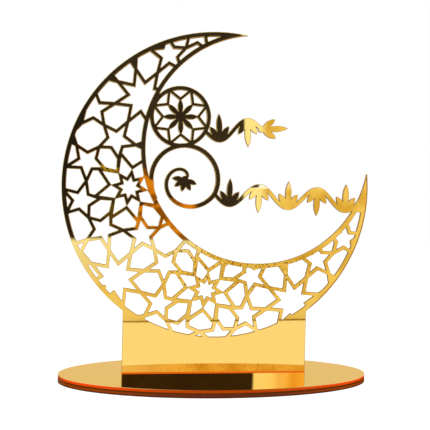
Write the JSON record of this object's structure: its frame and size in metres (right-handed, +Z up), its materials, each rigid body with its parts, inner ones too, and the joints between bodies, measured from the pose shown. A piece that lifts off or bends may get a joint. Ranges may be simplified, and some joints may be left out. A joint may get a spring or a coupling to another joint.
{
  "type": "table ornament",
  "caption": "Free-standing crescent moon cut from gold mirror acrylic, with a star lattice and leafy scrollwork, plugged upright into an oval stand.",
  "frame": {"origin": "middle of the stand's underside, at table level", "axes": "+X along the stand towards the viewer's right, +Y through the panel away from its mirror front, +Z up"},
  "size_m": [0.25, 0.125, 0.2811],
  "materials": {
    "panel_gold_mirror": "gold mirror front face, orange laser-cut edges, grey painted back",
    "stand_gold_mirror": "gold mirror upper face, orange laser-cut edges, grey painted underside",
    "bond_film": "clear adhesive film"
  },
  "bodies": {
    "base": {"base_bottom_plate": "stand_gold_mirror", "base_bond_film": "bond_film", "base_top_plate": "stand_gold_mirror"},
    "crescent": {"crescent_panel": "panel_gold_mirror"}
  },
  "joints": [
    {"name": "crescent_lift", "type": "slide", "parent": "base", "child": "crescent", "axis": [0, 0, 1], "range_m": [0, 0.02]}
  ]
}
